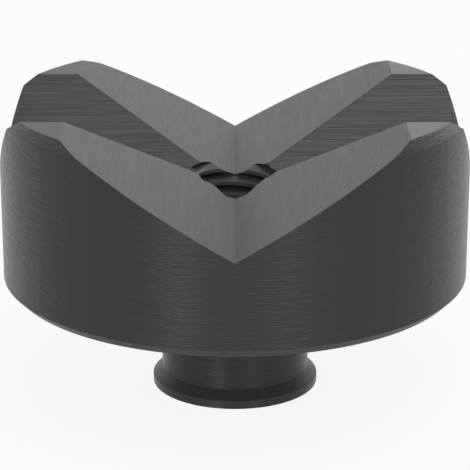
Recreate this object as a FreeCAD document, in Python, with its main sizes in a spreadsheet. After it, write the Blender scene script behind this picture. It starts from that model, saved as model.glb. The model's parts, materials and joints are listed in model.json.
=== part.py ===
"""Crossed V-block insert with an undercut spigot, milled from one turned blank.

Millimetres. Z is the turning axis and points up, and z = 0 is the seat, where the
head's underside rests on a fixture. The wide groove runs along Y and the narrow one
along X, and their valleys cross over the tapped hole on the axis.
"""

import FreeCAD, Part
import math
import os

import Sketcher

# Lengths in millimetres and angles in degrees.
SIZES = {
    "head_diameter": 50,
    "head_height": 20,
    "top_chamfer": 1,
    "seat_chamfer": 1,
    "wide_groove_angle": 120,
    "wide_groove_depth": 10,
    "narrow_groove_angle": 90,
    "narrow_groove_depth": 10,
    "spigot_diameter": 18,
    "spigot_length": 12,
    "spigot_land": 0.85,
    "undercut_depth": 1,
    "undercut_angle": 45,
    "thread_diameter": 10,
    "thread_pitch": 1.5,
    "mouth_diameter": 11,
    "mouth_angle": 90,
}

# How a sketch names the ends of a line, its origin and its two axes.
START, END, CENTRE = range(1, 4)
ORIGIN = (-1, START)
LEVEL_AXIS, UPRIGHT_AXIS = range(-1, -3, -1)


def make_sheet(doc):
    """The driving dimensions, one row each: what it is, then its value."""
    sheet = doc.addObject("Spreadsheet::Sheet", "Sizes")
    for row, (name, value) in enumerate(SIZES.items(), start=1):
        sheet.set(f"A{row}", name.replace("_", " "))
        sheet.set(f"B{row}", str(value))
        sheet.setAlias(f"B{row}", name)
    doc.recompute()
    return sheet


def add_sketch(body, name, plane):
    """A sketch on one of the body's own origin planes."""
    sketch = body.newObject("Sketcher::SketchObject", name)
    planes = {feature.Role: feature for feature in body.Origin.OriginFeatures}
    sketch.AttachmentSupport = [(planes[plane], "")]
    sketch.MapMode = "FlatFace"
    return sketch


def draw_outline(sketch, corners):
    """Joined lines round the corners. Those drawn level or upright stay so."""
    count = len(corners)
    for line, (x, y) in enumerate(corners):
        next_x, next_y = corners[(line + 1) % count]
        start = FreeCAD.Vector(x, y, 0)
        end = FreeCAD.Vector(next_x, next_y, 0)
        sketch.addGeometry(Part.LineSegment(start, end))
        if math.isclose(y, next_y):
            sketch.addConstraint(Sketcher.Constraint("Horizontal", line))
        if math.isclose(x, next_x):
            sketch.addConstraint(Sketcher.Constraint("Vertical", line))
    for line in range(count):
        joined = (line, END, (line + 1) % count, START)
        sketch.addConstraint(Sketcher.Constraint("Coincident", *joined))


def dimension(sketch, name, kind, where, formula):
    """A named dimension, bound to the sheet."""
    value = float(sketch.evalExpression(formula))
    if kind == "Angle":
        value = math.radians(value)
    index = sketch.addConstraint(Sketcher.Constraint(kind, *where, value))
    sketch.renameConstraint(index, name)
    sketch.setExpression(f"Constraints.{name}", formula)


def turn_blank(body, sheet):
    """Revolve the half section: spigot, undercut, seat and head with both rims chamfered."""
    spigot_radius = sheet.spigot_diameter / 2
    neck_radius = spigot_radius - sheet.undercut_depth
    head_radius = sheet.head_diameter / 2
    foot = -sheet.spigot_length
    land_top = foot + sheet.spigot_land
    shoulder = sheet.undercut_depth / math.tan(math.radians(sheet.undercut_angle))
    corners = [
        (0, foot),
        (spigot_radius, foot),
        (spigot_radius, land_top),
        (neck_radius, land_top + shoulder),
        (neck_radius, 0),
        (head_radius - sheet.seat_chamfer, 0),
        (head_radius, sheet.seat_chamfer),
        (head_radius, sheet.head_height - sheet.top_chamfer),
        (head_radius - sheet.top_chamfer, sheet.head_height),
        (0, sheet.head_height),
    ]
    sketch = add_sketch(body, "BlankSection", "XZ_Plane")
    draw_outline(sketch, corners)
    foot_face, land, undercut, neck, seat, seat_rim, wall, top_rim, top, axis = range(len(corners))
    sketch.addConstraint(Sketcher.Constraint("PointOnObject", axis, START, UPRIGHT_AXIS))
    sketch.addConstraint(Sketcher.Constraint("PointOnObject", seat, START, LEVEL_AXIS))
    for name, kind, where, formula in (
        ("SpigotRadius", "DistanceX", ORIGIN + (land, START), "Sizes.spigot_diameter / 2"),
        ("SpigotLength", "DistanceY", (foot_face, START) + ORIGIN, "Sizes.spigot_length"),
        ("Land", "DistanceY", (land, START, land, END), "Sizes.spigot_land"),
        ("UndercutDepth", "DistanceX", (undercut, END, undercut, START), "Sizes.undercut_depth"),
        ("UndercutAngle", "Angle", (undercut, END, neck, START), "180 - Sizes.undercut_angle"),
        ("HeadRadius", "DistanceX", ORIGIN + (wall, START), "Sizes.head_diameter / 2"),
        ("HeadHeight", "DistanceY", ORIGIN + (top, END), "Sizes.head_height"),
        ("SeatRimWidth", "DistanceX", (seat_rim, START, seat_rim, END), "Sizes.seat_chamfer"),
        ("SeatRimHeight", "DistanceY", (seat_rim, START, seat_rim, END), "Sizes.seat_chamfer"),
        ("TopRimWidth", "DistanceX", (top_rim, END, top_rim, START), "Sizes.top_chamfer"),
        ("TopRimHeight", "DistanceY", (top_rim, START, top_rim, END), "Sizes.top_chamfer"),
    ):
        dimension(sketch, name, kind, where, formula)
    blank = body.newObject("PartDesign::Revolution", "Blank")
    blank.Profile = sketch
    blank.ReferenceAxis = (sketch, ["V_Axis"])
    blank.Angle = 360
    return [sketch, blank]


def mill_groove(body, sheet, name, plane, size_name):
    """Cut a V right across the head. The cutter stands as far above the top as it goes in."""
    depth = sheet.get(f"{size_name}_depth")
    half_angle = math.radians(sheet.get(f"{size_name}_angle") / 2)
    crest = sheet.head_height + depth
    half_width = 2 * depth * math.tan(half_angle)
    sketch = add_sketch(body, f"{name}Section", plane)
    draw_outline(
        sketch,
        [(0, sheet.head_height - depth), (half_width, crest), (-half_width, crest)],
    )
    flank, crest_line, other_flank = range(3)
    sketch.addConstraint(Sketcher.Constraint("PointOnObject", flank, START, UPRIGHT_AXIS))
    sketch.addConstraint(Sketcher.Constraint("Equal", flank, other_flank))
    top, into = "Sizes.head_height", f"Sizes.{size_name}_depth"
    for name_in_sketch, kind, where, formula in (
        ("Valley", "DistanceY", ORIGIN + (flank, START), f"{top} - {into}"),
        ("Crest", "DistanceY", ORIGIN + (crest_line, START), f"{top} + {into}"),
        ("Opening", "Angle", (flank, START, other_flank, END), f"Sizes.{size_name}_angle"),
    ):
        dimension(sketch, name_in_sketch, kind, where, formula)
    groove = body.newObject("PartDesign::Pocket", name)
    groove.Profile = sketch
    groove.SideType = "Symmetric"
    groove.Type = "ThroughAll"
    return [sketch, groove]


def drill_for_thread(body, sheet):
    """Tapping hole up the axis from the foot, where its mouth is countersunk."""
    core = "Sizes.thread_diameter - Sizes.thread_pitch"
    core_radius = (sheet.thread_diameter - sheet.thread_pitch) / 2
    sketch = add_sketch(body, "HoleCentre", "XY_Plane")
    sketch.setExpression("AttachmentOffset.Base.z", "-Sizes.spigot_length")
    circle = sketch.addGeometry(
        Part.Circle(FreeCAD.Vector(0, 0, 0), FreeCAD.Vector(0, 0, 1), core_radius)
    )
    sketch.addConstraint(Sketcher.Constraint("Coincident", circle, CENTRE, *ORIGIN))
    dimension(sketch, "Core", "Diameter", (circle,), core)
    body.Document.recompute()
    hole = body.newObject("PartDesign::Hole", "TappingHole")
    hole.Profile = sketch
    hole.Reversed = True
    hole.DepthType = "ThroughAll"
    hole.HoleCutType = "Countersink"
    hole.setExpression("Diameter", core)
    hole.setExpression("HoleCutDiameter", "Sizes.mouth_diameter")
    hole.setExpression("HoleCutCountersinkAngle", "Sizes.mouth_angle")
    return [sketch, hole]


def check(features):
    """Stop on an object that failed to compute, and on a cut that cut nothing."""
    for feature in features:
        if {"Invalid", "Error"} & set(feature.State):
            raise RuntimeError(f"{feature.Name}: {feature.State}")
        if feature.Shape.isNull() or not feature.Shape.isValid():
            raise RuntimeError(f"{feature.Name}: its shape is not valid")
    solids = [feature for feature in features if feature.Shape.Solids]
    for before, after in zip(solids, solids[1:]):
        if after.Shape.Volume >= before.Shape.Volume:
            raise RuntimeError(f"{after.Name} removes nothing")


doc = FreeCAD.newDocument("VBlock")
sheet = make_sheet(doc)
body = doc.addObject("PartDesign::Body", "VBlock")
body.Label = "v_block"
features = turn_blank(body, sheet)
features += mill_groove(body, sheet, "WideGroove", "XZ_Plane", "wide_groove")
features += mill_groove(body, sheet, "NarrowGroove", "YZ_Plane", "narrow_groove")
features += drill_for_thread(body, sheet)
doc.recompute()
check(features)
check([body])

os.makedirs("parts", exist_ok=True)
body.Shape.exportStep(os.path.join("parts", f"{body.Label}.step"))
print(f"{body.Label}: {body.Shape.Volume:.1f} mm3, {len(body.Shape.Solids)} solid")
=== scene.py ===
import json
from math import cos, pi, radians, sin, tan

import bmesh
import bpy
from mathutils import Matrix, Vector


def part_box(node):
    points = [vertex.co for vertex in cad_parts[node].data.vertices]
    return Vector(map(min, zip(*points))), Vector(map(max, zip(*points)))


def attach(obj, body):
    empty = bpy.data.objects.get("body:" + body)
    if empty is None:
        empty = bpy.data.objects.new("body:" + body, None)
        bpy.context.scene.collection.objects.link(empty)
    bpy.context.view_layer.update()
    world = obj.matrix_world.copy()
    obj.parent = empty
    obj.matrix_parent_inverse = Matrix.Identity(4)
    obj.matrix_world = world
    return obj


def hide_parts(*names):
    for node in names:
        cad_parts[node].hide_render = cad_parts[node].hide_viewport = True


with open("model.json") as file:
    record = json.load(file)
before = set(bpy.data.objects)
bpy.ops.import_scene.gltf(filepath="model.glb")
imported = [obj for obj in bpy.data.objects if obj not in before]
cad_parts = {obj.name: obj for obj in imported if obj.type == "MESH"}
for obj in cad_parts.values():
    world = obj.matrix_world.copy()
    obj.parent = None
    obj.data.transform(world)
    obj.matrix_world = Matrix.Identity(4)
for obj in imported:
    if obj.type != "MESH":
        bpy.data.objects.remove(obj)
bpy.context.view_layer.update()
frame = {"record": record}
root = "root"
node = "v_block"
low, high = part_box(node)
mounts = {mount["name"]: mount for mount in frame["record"]["mounts"]}
print("frame loaded")


def addNode(tree, kind, **settings):
    new = tree.nodes.new(kind)
    for name, value in settings.items():
        setattr(new, name, value)
    return new


def meshObject(name, mesh):
    data = bpy.data.meshes.new(name)
    mesh.to_mesh(data)
    mesh.free()
    piece = bpy.data.objects.new(name, data)
    bpy.context.scene.collection.objects.link(piece)
    return piece


def cutAway(piece, cutter):
    # takes the cutter's volume out of the piece, then drops the cutter
    cut = piece.modifiers.new("cut", "BOOLEAN")
    cut.operation = "DIFFERENCE"
    cut.solver = "EXACT"
    cut.object = cutter
    bpy.context.view_layer.update()
    shaped = piece.evaluated_get(bpy.context.evaluated_depsgraph_get())
    data = bpy.data.meshes.new_from_object(shaped)
    piece.modifiers.clear()
    piece.data = data
    bpy.data.objects.remove(cutter)


camera = {
    "lens": 158.2,
    "clipStart": 0.01,
    "distance": 0.2236,
    "elevation": radians(18.394),
    "aimHeight": 0.0046,
}


def placeCamera(sizes):
    data = bpy.data.cameras.new("camera")
    data.lens = sizes["lens"]
    data.clip_start = sizes["clipStart"]
    eye = bpy.data.objects.new("camera", data)
    back = Vector((0, -1, tan(sizes["elevation"]))).normalized()
    eye.location = Vector((0, 0, sizes["aimHeight"])) + back * sizes["distance"]
    eye.rotation_euler = (pi / 2 - sizes["elevation"], 0, 0)
    bpy.context.scene.collection.objects.link(eye)
    bpy.context.scene.camera = eye


placeCamera(camera)
print("camera placed")


block = {
    "headRadius": high.x,
    "top": high.z,
    "foot": low.z,
    "rim": 0.001,
    "wideAngle": radians(120),
    "narrowAngle": radians(90),
    "grooveDepth": 0.010,
    "spigotRadius": mounts["spigot"]["dims"]["r_mm"] / 1000,
    "land": mounts["spigot"]["dims"]["length_mm"] / 1000,
    "undercut": 0.001,
    "mouthRadius": 0.0055,
    "edgeRound": 0.00006,
    "sharpFrom": radians(20),  # an edge that turns by more than this gets its rounding
    "roundSteps": 208,  # some counts leave tiny edges at the grooves, which hold the rounding down
    "spinWeld": 1e-7,  # corners nearer than this are one, after a spin
    "cutWeld": 1e-6,  # and after a cut
    "creaseFrom": radians(8),  # shading breaks where faces turn by more than this
}
thread = {
    "majorRadius": 0.005,
    "pitch": 0.0015,
    "rootAboveValley": 0.00102,  # height of a root over the valleys, on the +X side
    "stepsPerTurn": 96,
    "margin": 0.0015,
}


def turnBlank(sizes):
    # half section from the pit under the foot, out and up to the top
    neck = sizes["spigotRadius"] - sizes["undercut"]
    shoulder = sizes["foot"] + sizes["land"]
    rim = sizes["rim"]
    corners = (
        (0, sizes["foot"] + sizes["mouthRadius"]),
        (sizes["mouthRadius"], sizes["foot"]),
        (sizes["spigotRadius"], sizes["foot"]),
        (sizes["spigotRadius"], shoulder),
        (neck, shoulder + sizes["undercut"]),
        (neck, 0),
        (sizes["headRadius"] - rim, 0),
        (sizes["headRadius"], rim),
        (sizes["headRadius"], sizes["top"] - rim),
        (sizes["headRadius"] - rim, sizes["top"]),
        (0, sizes["top"]),
    )
    mesh = bmesh.new()
    verts = [mesh.verts.new((radius, 0, height)) for radius, height in corners]
    edges = [mesh.edges.new(pair) for pair in zip(verts, verts[1:])]
    bmesh.ops.spin(
        mesh, geom=verts + edges, cent=(0, 0, 0), axis=(0, 0, 1),
        angle=2 * pi, steps=sizes["roundSteps"], use_merge=True,
    )
    bmesh.ops.remove_doubles(mesh, verts=mesh.verts, dist=sizes["spinWeld"])
    bmesh.ops.recalc_face_normals(mesh, faces=mesh.faces)
    return meshObject("vBlock", mesh)


def grooveCutter(sizes, angle, along):
    # a V-shaped bar that runs along one axis and passes the head on all sides
    depth = sizes["grooveDepth"]
    valley = sizes["top"] - depth
    reach = sizes["headRadius"] + depth
    half = 2 * depth * tan(angle / 2)
    across = Vector((along.y, along.x, 0))
    corners = ((0, valley), (half, valley + 2 * depth), (-half, valley + 2 * depth))
    mesh = bmesh.new()
    verts = [
        mesh.verts.new(across * side - along * reach + Vector((0, 0, height)))
        for side, height in corners
    ]
    section = mesh.faces.new(verts)
    grown = bmesh.ops.extrude_face_region(mesh, geom=[section])["geom"]
    moved = [item for item in grown if isinstance(item, bmesh.types.BMVert)]
    bmesh.ops.translate(mesh, verts=moved, vec=along * 2 * reach)
    bmesh.ops.recalc_face_normals(mesh, faces=mesh.faces)
    return meshObject("grooveCutter", mesh)


def roundEdges(piece, sizes):
    # a hair of rounding on every edge that stands out, so that it catches the light
    mesh = bmesh.new()
    mesh.from_mesh(piece.data)
    bmesh.ops.remove_doubles(mesh, verts=mesh.verts, dist=sizes["cutWeld"])
    sharp = [edge for edge in mesh.edges if edge.calc_face_angle_signed(0) > sizes["sharpFrom"]]
    bmesh.ops.bevel(
        mesh, geom=sharp, offset=sizes["edgeRound"], offset_type="OFFSET", affect="EDGES",
        segments=2, profile=0.5, material=-1, clamp_overlap=True,
    )
    mesh.to_mesh(piece.data)
    mesh.free()


def mergeClose(piece, sizes):
    # closes up the corners that the last cut leaves a thousandth of a millimetre apart
    mesh = bmesh.new()
    mesh.from_mesh(piece.data)
    bmesh.ops.remove_doubles(mesh, verts=mesh.verts, dist=sizes["cutWeld"])
    mesh.to_mesh(piece.data)
    mesh.free()


def tapCutter(sizes, cut):
    # the tap's full form: one pitch of the metric profile, root to root, wound up the axis
    pitch, major = cut["pitch"], cut["majorRadius"]
    depth = 5 / 8 * pitch * 0.75 ** 0.5
    minor = major - depth
    flank = depth * tan(radians(30))
    outline = (
        (major, 0),
        (major, pitch / 16),
        (minor, pitch / 16 + flank),
        (minor, pitch * 5 / 16 + flank),
        (major, pitch * 15 / 16),
        (major, pitch),
    )
    valley = sizes["top"] - sizes["grooveDepth"]
    bottom, crown = sizes["foot"] - cut["margin"], valley + 2 * cut["margin"]
    turnsBelow = int((valley - bottom) / pitch) + 2
    turns = turnsBelow + int((crown - valley) / pitch) + 1
    start = valley + cut["rootAboveValley"] - turnsBelow * pitch
    mesh = bmesh.new()
    verts = [mesh.verts.new((radius, 0, start + rise)) for radius, rise in outline]
    edges = [mesh.edges.new(pair) for pair in zip(verts, verts[1:])]
    bmesh.ops.spin(
        mesh, geom=verts + edges, cent=(0, 0, 0), axis=(0, 0, 1),
        dvec=(0, 0, pitch / cut["stepsPerTurn"]), angle=turns * 2 * pi,
        steps=turns * cut["stepsPerTurn"],
    )
    bmesh.ops.remove_doubles(mesh, verts=mesh.verts, dist=sizes["spinWeld"])
    for height, side in ((bottom, -1), (crown, 1)):
        bmesh.ops.bisect_plane(
            mesh, geom=mesh.verts[:] + mesh.edges[:] + mesh.faces[:],
            plane_co=(0, 0, height), plane_no=(0, 0, side), clear_outer=True,
        )
    rims = [edge for edge in mesh.edges if edge.is_boundary]
    bmesh.ops.holes_fill(mesh, edges=rims, sides=0)
    bmesh.ops.recalc_face_normals(mesh, faces=mesh.faces)
    return meshObject("tapCutter", mesh)


vBlock = turnBlank(block)
cutAway(vBlock, grooveCutter(block, block["wideAngle"], Vector((0, 1, 0))))
cutAway(vBlock, grooveCutter(block, block["narrowAngle"], Vector((1, 0, 0))))
roundEdges(vBlock, block)
cutAway(vBlock, tapCutter(block, thread))
mergeClose(vBlock, block)
print("block shaped:", len(vBlock.data.polygons), "faces")


# tone is the oxide's own grey, except on the thread and the shoulder. The marks' scale is per metre: low
# along them, high across.
# The thread and the shoulder sit in shade and see mostly dark steel, so they are lighter copies of the same
# oxide with no metal share: painted light that keeps their shaded parts from going near black.
finishes = {
    "ground": {
        "tone": 0.045, "metal": 0.8, "roughness": 0.43, "brushed": 0.0,
        "marks": (300, 300, 300), "toneSwing": 0.04, "roughnessSwing": 0.02, "depth": 0.0,
    },
    "turned": {
        "tone": 0.045, "metal": 0.8, "roughness": 0.40, "brushed": 0.9,
        "marks": (700, 700, 6500), "toneSwing": 0.10, "roughnessSwing": 0.05, "depth": 0.00014,
    },
    "wide": {
        "tone": 0.045, "metal": 0.8, "roughness": 0.45, "brushed": 0.0,
        "marks": (5000, 250, 0), "toneSwing": 0.06, "roughnessSwing": 0.04, "depth": 0.000002,
    },
    "narrow": {
        "tone": 0.045, "metal": 0.8, "roughness": 0.40, "brushed": 0.0,
        "marks": (60, 0, 6500), "toneSwing": 0.20, "roughnessSwing": 0.08, "depth": 0.00018,
    },
    # thread: the oxide at twice its grey and with no metal share, painted light that lifts the shaded bore
    "thread": {
        "tone": 0.09, "metal": 0.0, "roughness": 0.30, "brushed": 0.0, "specular": 0.2,
        "marks": (300, 300, 300), "toneSwing": 0.04, "roughnessSwing": 0.02, "depth": 0.0,
    },
    # shoulder: the oxide with no metal share, painted light that lifts the shade under the head
    "shoulder": {
        "tone": 0.05, "metal": 0.0, "roughness": 0.40, "brushed": 0.0, "specular": 0.35,
        "marks": (300, 300, 300), "toneSwing": 0.04, "roughnessSwing": 0.02, "depth": 0.0,
    },
}


marking = {
    "fineScale": 1.0,
    "broadScale": 0.3,
    "broadShare": 0.35,  # how much of the lines is broad ones
    "detail": 2.0,
    "driftScale": 0.3,
    "waviness": 1.0,
    "noiseLow": 0.3,  # a noise value seldom leaves this range
    "noiseHigh": 0.7,
    "brushTurn": 0.25,
}


def socket(group, name, inOut, kind="NodeSocketFloat"):
    return group.interface.new_socket(name, in_out=inOut, socket_type=kind)


def toolMarksGroup(sizes):
    # lines that run along the cut: fine ones, and broader ones that fade in and out
    group = bpy.data.node_groups.new("toolMarks", "ShaderNodeTree")
    socket(group, "Place", "INPUT", "NodeSocketVector")
    socket(group, "Waviness", "INPUT")
    socket(group, "Marks", "OUTPUT")
    enter = addNode(group, "NodeGroupInput")
    leave = addNode(group, "NodeGroupOutput")
    drift = addNode(group, "ShaderNodeTexNoise")
    drift.inputs["Scale"].default_value = sizes["driftScale"]
    shift = addNode(group, "ShaderNodeVectorMath", operation="MULTIPLY_ADD")
    fine = addNode(group, "ShaderNodeTexNoise")
    fine.inputs["Scale"].default_value = sizes["fineScale"]
    fine.inputs["Detail"].default_value = sizes["detail"]
    broad = addNode(group, "ShaderNodeTexNoise")
    broad.inputs["Scale"].default_value = sizes["broadScale"]
    broad.inputs["Detail"].default_value = sizes["detail"]
    blend = addNode(group, "ShaderNodeMix", data_type="FLOAT")
    blend.inputs["Factor"].default_value = sizes["broadShare"]
    group.links.new(enter.outputs["Place"], drift.inputs["Vector"])
    group.links.new(drift.outputs["Color"], shift.inputs[0])
    group.links.new(enter.outputs["Waviness"], shift.inputs[1])
    group.links.new(enter.outputs["Place"], shift.inputs[2])
    group.links.new(shift.outputs["Vector"], fine.inputs["Vector"])
    group.links.new(shift.outputs["Vector"], broad.inputs["Vector"])
    group.links.new(fine.outputs["Fac"], blend.inputs["A"])
    group.links.new(broad.outputs["Fac"], blend.inputs["B"])
    group.links.new(blend.outputs["Result"], leave.inputs["Marks"])
    return group


toolMarks = toolMarksGroup(marking)


def spread(tree, source, middle, swing):
    # turns a noise value into middle plus or minus swing
    span = addNode(tree, "ShaderNodeMapRange")
    span.inputs["From Min"].default_value = marking["noiseLow"]
    span.inputs["From Max"].default_value = marking["noiseHigh"]
    span.inputs["To Min"].default_value = middle - swing
    span.inputs["To Max"].default_value = middle + swing
    tree.links.new(source, span.inputs["Value"])
    return span.outputs["Result"]


def blackOxide(name, look):
    material = bpy.data.materials.new(name + "BlackOxide")
    material.use_nodes = True
    tree = material.node_tree
    shader = tree.nodes["Principled BSDF"]
    place = addNode(tree, "ShaderNodeTexCoord")
    stretch = addNode(tree, "ShaderNodeMapping")
    stretch.inputs["Scale"].default_value = look["marks"]
    marks = addNode(tree, "ShaderNodeGroup", node_tree=toolMarks)
    marks.inputs["Waviness"].default_value = marking["waviness"]
    tree.links.new(place.outputs["Object"], stretch.inputs["Vector"])
    tree.links.new(stretch.outputs["Vector"], marks.inputs["Place"])
    tone = spread(tree, marks.outputs["Marks"], look["tone"], look["tone"] * look["toneSwing"])
    colour = addNode(tree, "ShaderNodeCombineColor")
    for channel in ("Red", "Green", "Blue"):
        tree.links.new(tone, colour.inputs[channel])
    tree.links.new(colour.outputs["Color"], shader.inputs["Base Color"])
    rough = spread(tree, marks.outputs["Marks"], look["roughness"], look["roughnessSwing"])
    tree.links.new(rough, shader.inputs["Roughness"])
    if look["depth"]:
        bump = addNode(tree, "ShaderNodeBump")
        bump.inputs["Strength"].default_value = 1.0
        bump.inputs["Distance"].default_value = look["depth"]
        tree.links.new(marks.outputs["Marks"], bump.inputs["Height"])
        tree.links.new(bump.outputs["Normal"], shader.inputs["Normal"])
    shader.inputs["Metallic"].default_value = look["metal"]
    shader.inputs["Specular IOR Level"].default_value = look.get("specular", 0.5)
    shader.inputs["Anisotropic"].default_value = look["brushed"]
    shader.inputs["Anisotropic Rotation"].default_value = marking["brushTurn"]
    return material


tellApart = {
    "sameWay": 0.01,  # how nearly a face must look a groove flank's way
    "level": 0.95,  # a face that looks up or down by more than this is ground
    "upward": 0.05,  # a face under the seat that looks up by more than this is the shoulder
    "boreShare": 0.97,  # of the thread's radius
    "boreAboveValley": 0.002,  # how far up the thread can reach
}


def finishOf(face, sizes, limits):
    # which tool left this face, from where it looks and where it lies
    normal, centre = face.normal, face.center
    near = limits["sameWay"]
    wide = abs(normal.y) < near and abs(abs(normal.x) - cos(sizes["wideAngle"] / 2)) < near
    narrow = abs(normal.x) < near and abs(abs(normal.y) - cos(sizes["narrowAngle"] / 2)) < near
    outside = centre.xy.length > thread["majorRadius"] * limits["boreShare"]
    boreTop = sizes["top"] - sizes["grooveDepth"] + limits["boreAboveValley"]
    inBore = not outside and centre.z < boreTop
    if centre.z > 0 and normal.z > 0 and not inBore:
        if wide:
            return "wide"
        if narrow:
            return "narrow"
    # the bore's thread and the shoulder under the seat get the lighter copies of the oxide, painted light
    # that lifts their shade
    if not outside:
        return "thread"
    if centre.z < 0 < normal.z - limits["upward"]:
        return "shoulder"
    return "ground" if abs(normal.z) > limits["level"] else "turned"


def dressBlock(piece, sizes):
    names = list(finishes)
    for name in names:
        piece.data.materials.append(blackOxide(name, finishes[name]))
    for face in piece.data.polygons:
        face.material_index = names.index(finishOf(face, sizes, tellApart))
        face.use_smooth = True
    piece.data.set_sharp_from_angle(angle=sizes["creaseFrom"])


dressBlock(vBlock, block)
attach(vBlock, root)
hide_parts(node)
print("block finished")


# azimuth is from behind the block, towards its right. Radiance is how bright a lamp looks.
studio = {
    "floorHalf": 2.0,
    "ambient": 0.5,
    "floorTone": 0.85,
    "floorRoughness": 0.9,
    "floorGlow": 0.9,
    "lamps": {
        "overhead": {"azimuth": 140, "elevation": 68, "away": 0.8, "size": (0.35, 0.35), "radiance": 3.2},
        "front": {"azimuth": 180, "elevation": 60, "away": 0.8, "size": (0.35, 0.35), "radiance": 1.8},
        "backRim": {"azimuth": 8, "elevation": 27, "away": 0.7, "size": (0.15, 0.15), "radiance": 2.8},
        "backRight": {"azimuth": 35, "elevation": 30, "away": 0.7, "size": (0.25, 0.25), "radiance": 1.8},
        "backLeft": {"azimuth": -20, "elevation": 28, "away": 0.7, "size": (0.2, 0.2), "radiance": 1.1},
        "frontLeft": {"azimuth": 206, "elevation": 16, "away": 0.7, "size": (0.12, 0.38), "radiance": 4.5},
        "frontRight": {"azimuth": 154, "elevation": 16, "away": 0.7, "size": (0.12, 0.38), "radiance": 2.2},
    },
}


def whiteToEyes(tree):
    # 1 for camera, glossy and transmission rays, 0 for the rays that light the object
    path = addNode(tree, "ShaderNodeLightPath")
    first = addNode(tree, "ShaderNodeMath", operation="MAXIMUM")
    second = addNode(tree, "ShaderNodeMath", operation="MAXIMUM")
    tree.links.new(path.outputs["Is Camera Ray"], first.inputs[0])
    tree.links.new(path.outputs["Is Glossy Ray"], first.inputs[1])
    tree.links.new(first.outputs["Value"], second.inputs[0])
    tree.links.new(path.outputs["Is Transmission Ray"], second.inputs[1])
    return second.outputs["Value"]


def makeWorld(sizes):
    world = bpy.data.worlds.new("studio")
    bpy.context.scene.world = world
    world.use_nodes = True
    tree = world.node_tree
    tree.nodes.clear()
    leave = addNode(tree, "ShaderNodeOutputWorld")
    mix = addNode(tree, "ShaderNodeMixShader")
    ambient = addNode(tree, "ShaderNodeBackground")
    ambient.inputs["Strength"].default_value = sizes["ambient"]
    ambient.inputs["Color"].default_value = (1, 1, 1, 1)
    white = addNode(tree, "ShaderNodeBackground")
    white.inputs["Color"].default_value = (1, 1, 1, 1)
    tree.links.new(whiteToEyes(tree), mix.inputs["Fac"])
    tree.links.new(ambient.outputs["Background"], mix.inputs[1])
    tree.links.new(white.outputs["Background"], mix.inputs[2])
    tree.links.new(mix.outputs["Shader"], leave.inputs["Surface"])


def makeFloor(sizes):
    mesh = bmesh.new()
    bmesh.ops.create_grid(mesh, x_segments=1, y_segments=1, size=sizes["floorHalf"])
    bmesh.ops.translate(mesh, verts=mesh.verts, vec=(0, 0, low.z))
    floor = meshObject("floor", mesh)
    material = bpy.data.materials.new("floor")
    material.use_nodes = True
    tree = material.node_tree
    paint = tree.nodes["Principled BSDF"]
    paint.inputs["Base Color"].default_value = (*[sizes["floorTone"]] * 3, 1)
    paint.inputs["Roughness"].default_value = sizes["floorRoughness"]
    glow = addNode(tree, "ShaderNodeEmission")
    glow.inputs["Strength"].default_value = 1.0
    mix = addNode(tree, "ShaderNodeMixShader")
    share = addNode(tree, "ShaderNodeMath", operation="MULTIPLY")
    share.inputs[1].default_value = sizes["floorGlow"]
    tree.links.new(whiteToEyes(tree), share.inputs[0])
    tree.links.new(share.outputs["Value"], mix.inputs["Fac"])
    tree.links.new(paint.outputs["BSDF"], mix.inputs[1])
    tree.links.new(glow.outputs["Emission"], mix.inputs[2])
    tree.links.new(mix.outputs["Shader"], tree.nodes["Material Output"].inputs["Surface"])
    floor.data.materials.append(material)


def hangLamp(name, sizes):
    width, height = sizes["size"]
    data = bpy.data.lights.new(name, "AREA")
    data.shape = "RECTANGLE"
    data.size = width
    data.size_y = height
    data.energy = sizes["radiance"] * pi * width * height
    turn, rise = radians(sizes["azimuth"]), radians(sizes["elevation"])
    towards = Vector((sin(turn) * cos(rise), cos(turn) * cos(rise), sin(rise)))
    lamp = bpy.data.objects.new(name, data)
    lamp.location = towards * sizes["away"]
    lamp.rotation_euler = towards.to_track_quat("Z", "Y").to_euler()
    bpy.context.scene.collection.objects.link(lamp)


makeWorld(studio)
makeFloor(studio)
for name, sizes in studio["lamps"].items():
    hangLamp(name, sizes)
bpy.context.scene.view_settings.view_transform = "Standard"
print("studio lit")
